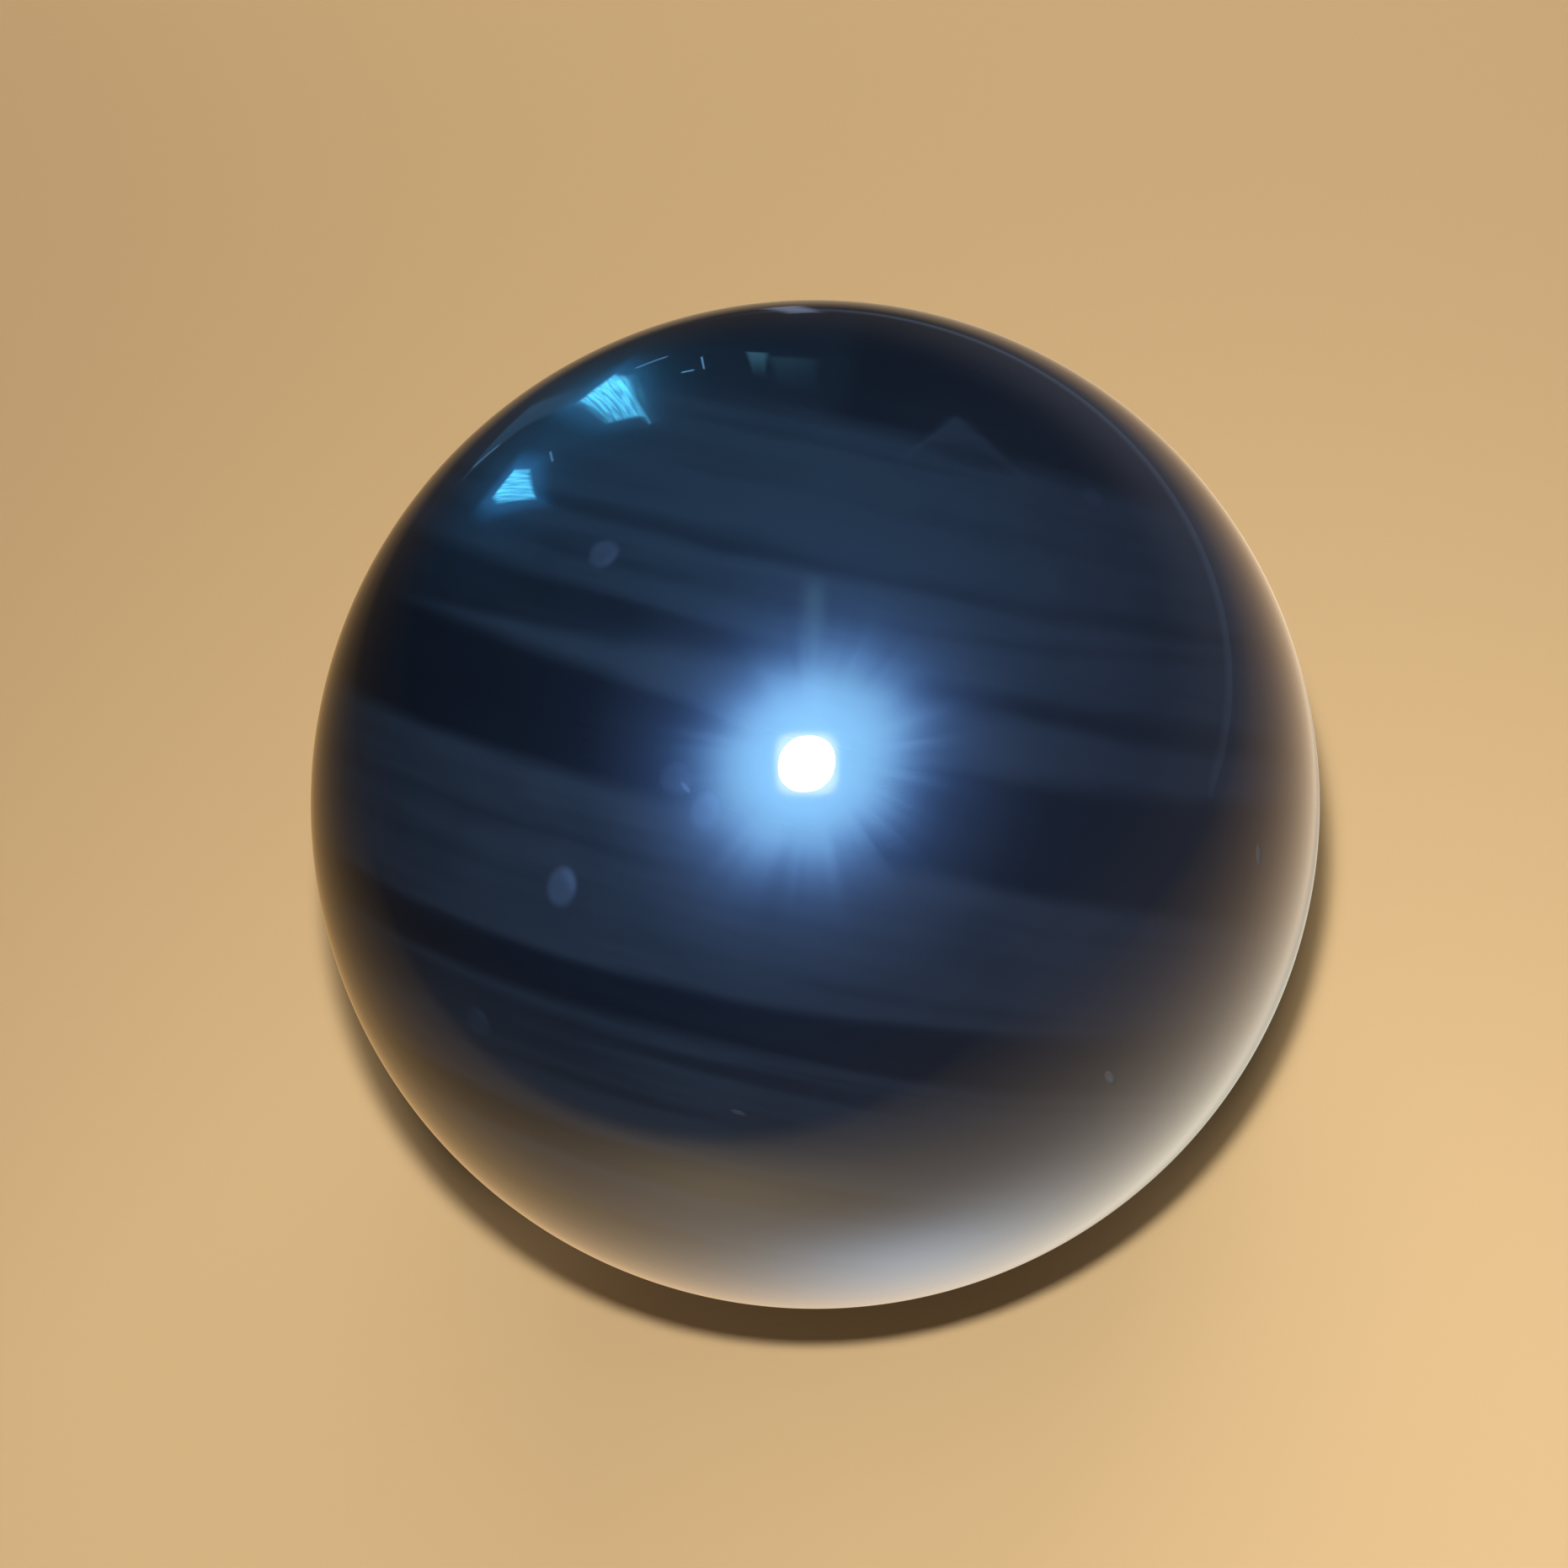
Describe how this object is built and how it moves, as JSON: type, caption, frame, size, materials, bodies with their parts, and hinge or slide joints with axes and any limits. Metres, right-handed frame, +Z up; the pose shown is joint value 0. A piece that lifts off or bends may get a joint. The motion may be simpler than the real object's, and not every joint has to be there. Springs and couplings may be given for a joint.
{
  "type": "midnight lace obsidian sphere",
  "caption": "Polished ball of dark banded volcanic glass with a small ground flat underneath, so that it rests on a level surface without rolling.",
  "frame": {"origin": "centre of the ground flat, on the surface that the ball rests on", "axes": "+Z up, through the centre of the ball; +X to the right and +Y away from the viewer of the reference view"},
  "size_m": [0.06, 0.06, 0.0597],
  "materials": {
    "obsidian": "mirror polished volcanic glass, near black with blue-grey flow bands"
  },
  "bodies": {
    "root": {"obsidian_sphere": "obsidian"}
  },
  "joints": []
}
